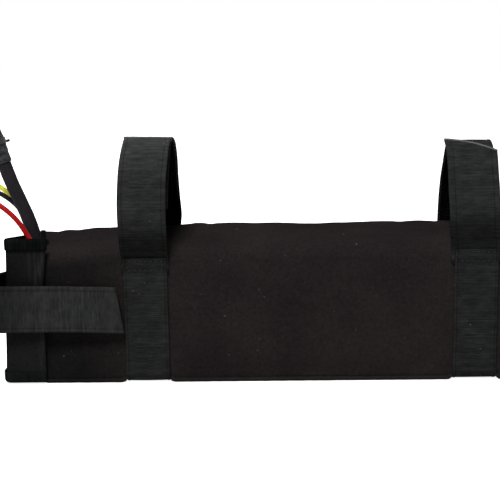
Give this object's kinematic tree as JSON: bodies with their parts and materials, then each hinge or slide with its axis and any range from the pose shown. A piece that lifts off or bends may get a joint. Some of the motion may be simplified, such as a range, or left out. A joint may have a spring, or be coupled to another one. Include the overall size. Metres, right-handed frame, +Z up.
{
  "type": "soft-bag electric bicycle battery",
  "caption": "Padded fabric bag battery with hook-and-loop mounting loops, end flap, closure strap, discharge cable and thin leads.",
  "frame": {"origin": "on the bag's flat underside, midway between the two mounting straps and midway between its front and back faces", "axes": "+X along the bag towards its closed end, +Y from its front face to its back face, +Z up, away from the surface it lies on"},
  "size_m": [0.5452, 0.0849, 0.166],
  "materials": {
    "bag_fabric": "woven nylon, matt, brownish black",
    "flap_fabric": "woven nylon, matt, black",
    "binding_tape": "ribbed binding tape, black",
    "hook_tape": "hook tape, black",
    "webbing": "hook-and-loop webbing with smooth selvages, dark grey",
    "cell_can": "sleeved cell, satin blue film",
    "nickel": "bright rolled nickel",
    "insulating_paper": "calendered insulating paper",
    "shrink_sleeve": "thin shrink film, semi-gloss blue",
    "foam": "closed-cell foam, dark grey",
    "fibre_board": "epoxy fibre board",
    "plate_aluminium": "milled aluminium",
    "circuit_board": "green solder mask, satin",
    "white_plastic": "natural nylon",
    "black_plastic": "moulded plastic, satin",
    "balance_wire_pvc": "thin wire insulation",
    "red_silicone": "silicone insulation, red",
    "black_silicone": "silicone insulation, black",
    "yellow_silicone": "silicone insulation, yellow",
    "cable_sleeve": "woven cable sleeve over two wires, black",
    "shrink_tube": "crinkled shrink tube, dark grey",
    "connector_plastic": "moulded nylon, yellow",
    "contact_brass": "gold-flashed brass"
  },
  "bodies": {
    "bag": {"bag_sleeve": "bag_fabric", "bag_end_panel": "bag_fabric", "end_piping": "binding_tape", "mouth_binding": "binding_tape", "hook_patch": "hook_tape", "left_strap_base": "webbing", "right_strap_base": "webbing", "cell_group_01": "cell_can", "cell_group_02": "cell_can", "cell_group_03": "cell_can", "cell_group_04": "cell_can", "cell_group_05": "cell_can", "cell_group_06": "cell_can", "cell_group_07": "cell_can", "cell_group_08": "cell_can", "cell_group_09": "cell_can", "cell_group_10": "cell_can", "cell_group_11": "cell_can", "cell_group_12": "cell_can", "cell_group_13": "cell_can", "front_nickel_strips": "nickel", "back_nickel_strips": "nickel", "front_insulation": "insulating_paper", "back_insulation": "insulating_paper", "pack_wrap": "shrink_sleeve", "end_foam": "foam", "end_board": "fibre_board", "front_foam_block": "foam", "back_foam_block": "foam", "bms_plate": "plate_aluminium", "bms_transistors": "black_plastic", "bms_board": "circuit_board", "balance_socket": "white_plastic", "balance_plug": "white_plastic", "balance_wires": "balance_wire_pvc", "temperature_probe": "black_plastic", "positive_lead": "red_silicone", "negative_lead": "black_silicone", "discharge_cable": "cable_sleeve", "cable_boot": "shrink_tube", "cable_tie": "black_plastic", "discharge_plug": "connector_plastic", "discharge_contacts": "contact_brass", "red_wire": "red_silicone", "black_wire": "black_silicone", "yellow_wire": "yellow_silicone", "signal_plug": "black_plastic", "signal_pins": "contact_brass"},
    "flap": {"end_flap": "flap_fabric", "flap_top_binding": "binding_tape", "flap_bottom_binding": "binding_tape", "closure_strap": "webbing"},
    "closure_tip": {"closure_strap_tip": "webbing"},
    "left_tab": {"left_strap_tab": "webbing"},
    "left_loop": {"left_strap_loop": "webbing"},
    "right_tab": {"right_strap_tab": "webbing"},
    "right_loop": {"right_strap_loop": "webbing"}
  },
  "joints": [
    {"name": "flap_open", "type": "hinge", "parent": "bag", "child": "flap", "pos_m": [-0.17, 0.0366, 0.04], "axis": [0, 0, -1], "range_deg": [0, 150]},
    {"name": "closure_peel", "type": "hinge", "parent": "flap", "child": "closure_tip", "pos_m": [-0.17775, -0.047, 0.0445], "axis": [0, 0, -1], "range_deg": [0, 150]},
    {"name": "left_tab_open", "type": "hinge", "parent": "bag", "child": "left_tab", "pos_m": [-0.0936, -0.0379, 0.07375], "axis": [1, 0, 0], "range_deg": [0, 120]},
    {"name": "left_loop_swing", "type": "hinge", "parent": "bag", "child": "left_loop", "pos_m": [-0.0936, 0.0379, 0.07375], "axis": [-1, 0, 0], "range_deg": [0, 100]},
    {"name": "right_tab_open", "type": "hinge", "parent": "bag", "child": "right_tab", "pos_m": [0.0936, -0.0379, 0.07775], "axis": [1, 0, 0], "range_deg": [0, 120]},
    {"name": "right_loop_swing", "type": "hinge", "parent": "bag", "child": "right_loop", "pos_m": [0.0936, 0.0379, 0.07775], "axis": [-1, 0, 0], "range_deg": [0, 100]}
  ]
}
